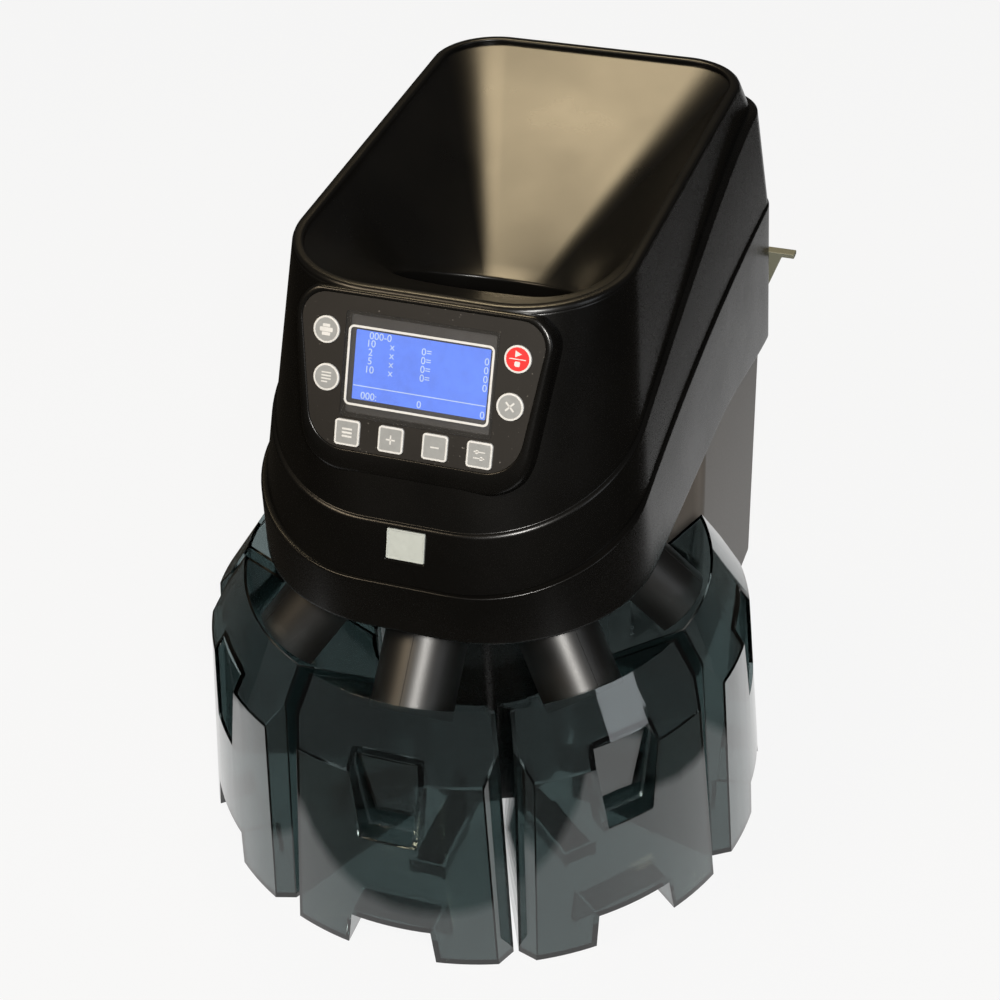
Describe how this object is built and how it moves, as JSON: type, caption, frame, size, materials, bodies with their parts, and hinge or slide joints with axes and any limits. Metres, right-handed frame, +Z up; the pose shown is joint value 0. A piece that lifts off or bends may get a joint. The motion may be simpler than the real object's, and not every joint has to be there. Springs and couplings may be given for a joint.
{
  "type": "coin sorter",
  "caption": "Table-top coin sorter: an open hopper on a leaning head with a key panel and display, chutes below it, and see-through pull-out coin boxes in a ring.",
  "frame": {"origin": "on the table, under the sorting axis, on the underside of the middle rubber foot", "axes": "+Z up along the sorting axis, -Y towards the key panel at the front, +X to the right seen from the front"},
  "size_m": [0.33, 0.4392, 0.36],
  "materials": {
    "black_plastic": "satin",
    "dark_grey_plastic": "matt",
    "smoky_plastic": "glossy, see-through",
    "light_grey_plastic": "satin",
    "red_plastic": "satin",
    "clear_plastic": "glossy, see-through",
    "blue_display": "lit",
    "black_rubber": "matt",
    "grey_rubber": "matt",
    "steel": "brushed",
    "aluminium": "satin",
    "grey_metal": "satin",
    "column_paint": "satin",
    "circuit_board": "matt"
  },
  "bodies": {
    "root": {"base_hub": "black_plastic", "box_runners": "black_plastic", "rubber_feet": "black_rubber", "front_neck": "black_plastic", "rear_column": "column_paint", "column_cover": "black_plastic", "cover_screws": "steel", "power_supply": "steel", "main_board": "circuit_board", "switch_frame": "black_plastic", "power_inlet": "black_plastic", "data_port": "steel", "rear_hook": "grey_metal", "lower_housing": "black_plastic", "upper_housing": "black_plastic", "hopper_bowl": "black_plastic", "badge_plate": "aluminium", "panel_overlay": "black_plastic", "lcd_window": "clear_plastic", "lcd_frame": "light_grey_plastic", "lcd_screen": "blue_display", "lcd_module": "dark_grey_plastic", "key_mat": "grey_rubber", "key_board": "circuit_board", "spindle_bearing": "steel", "sorting_plate": "steel", "drop_tubes": "black_plastic", "coin_sensors": "circuit_board", "drive_belt": "black_rubber", "drive_motor": "steel", "motor_bracket": "steel", "chute_1": "black_plastic", "chute_2": "black_plastic", "chute_3": "black_plastic", "chute_4": "black_plastic", "chute_5": "black_plastic"},
    "carousel": {"carousel_disc": "black_plastic", "drive_flange": "aluminium", "spindle": "steel", "spindle_pulley": "aluminium"},
    "motor_rotor": {"motor_pulley": "aluminium"},
    "rocker": {"power_switch": "red_plastic"},
    "button_round_1": {"key_round_1": "light_grey_plastic"},
    "button_round_2": {"key_round_2": "light_grey_plastic"},
    "button_round_3": {"key_round_3": "red_plastic"},
    "button_round_4": {"key_round_4": "light_grey_plastic"},
    "button_square_1": {"key_square_1": "light_grey_plastic"},
    "button_square_2": {"key_square_2": "light_grey_plastic"},
    "button_square_3": {"key_square_3": "light_grey_plastic"},
    "button_square_4": {"key_square_4": "light_grey_plastic"},
    "drawer_1": {"coin_box_1": "smoky_plastic"},
    "drawer_2": {"coin_box_2": "smoky_plastic"},
    "drawer_3": {"coin_box_3": "smoky_plastic"},
    "drawer_4": {"coin_box_4": "smoky_plastic"},
    "drawer_5": {"coin_box_5": "smoky_plastic"}
  },
  "joints": [
    {"name": "disc_spin", "type": "hinge", "parent": "root", "child": "carousel", "pos_m": [0, 0, 0.25], "axis": [0, 0, 1], "continuous": true},
    {"name": "motor_spin", "type": "hinge", "parent": "root", "child": "motor_rotor", "pos_m": [0, 0.12, 0.21], "axis": [0, 0, 1], "continuous": true},
    {"name": "switch_rock", "type": "hinge", "parent": "root", "child": "rocker", "pos_m": [-0.036, 0.2554, 0.056], "axis": [-1, 0, 0], "range_deg": [0, 16]},
    {"name": "key_round_1_press", "type": "slide", "parent": "root", "child": "button_round_1", "axis": [0, 0.9245, -0.3811], "range_m": [0, 0.0009], "stiffness_N_per_m": 600},
    {"name": "key_round_2_press", "type": "slide", "parent": "root", "child": "button_round_2", "axis": [0, 0.9245, -0.3811], "range_m": [0, 0.0009], "stiffness_N_per_m": 600},
    {"name": "key_round_3_press", "type": "slide", "parent": "root", "child": "button_round_3", "axis": [0, 0.9245, -0.3811], "range_m": [0, 0.0009], "stiffness_N_per_m": 600},
    {"name": "key_round_4_press", "type": "slide", "parent": "root", "child": "button_round_4", "axis": [0, 0.9245, -0.3811], "range_m": [0, 0.0009], "stiffness_N_per_m": 600},
    {"name": "key_square_1_press", "type": "slide", "parent": "root", "child": "button_square_1", "axis": [0, 0.9245, -0.3811], "range_m": [0, 0.0009], "stiffness_N_per_m": 600},
    {"name": "key_square_2_press", "type": "slide", "parent": "root", "child": "button_square_2", "axis": [0, 0.9245, -0.3811], "range_m": [0, 0.0009], "stiffness_N_per_m": 600},
    {"name": "key_square_3_press", "type": "slide", "parent": "root", "child": "button_square_3", "axis": [0, 0.9245, -0.3811], "range_m": [0, 0.0009], "stiffness_N_per_m": 600},
    {"name": "key_square_4_press", "type": "slide", "parent": "root", "child": "button_square_4", "axis": [0, 0.9245, -0.3811], "range_m": [0, 0.0009], "stiffness_N_per_m": 600},
    {"name": "coin_box_1_pull", "type": "slide", "parent": "root", "child": "drawer_1", "axis": [-0.9871, 0.1599, 0], "range_m": [0, 0.13]},
    {"name": "coin_box_2_pull", "type": "slide", "parent": "root", "child": "drawer_2", "axis": [-0.7615, -0.6481, 0], "range_m": [0, 0.13]},
    {"name": "coin_box_3_pull", "type": "slide", "parent": "root", "child": "drawer_3", "axis": [0, -1, 0], "range_m": [0, 0.13]},
    {"name": "coin_box_4_pull", "type": "slide", "parent": "root", "child": "drawer_4", "axis": [0.7615, -0.6481, 0], "range_m": [0, 0.13]},
    {"name": "coin_box_5_pull", "type": "slide", "parent": "root", "child": "drawer_5", "axis": [0.9871, 0.1599, 0], "range_m": [0, 0.13]}
  ],
  "couplings": [
    {"joint": "motor_spin", "follows": "disc_spin", "ratio": 2.9091}
  ]
}
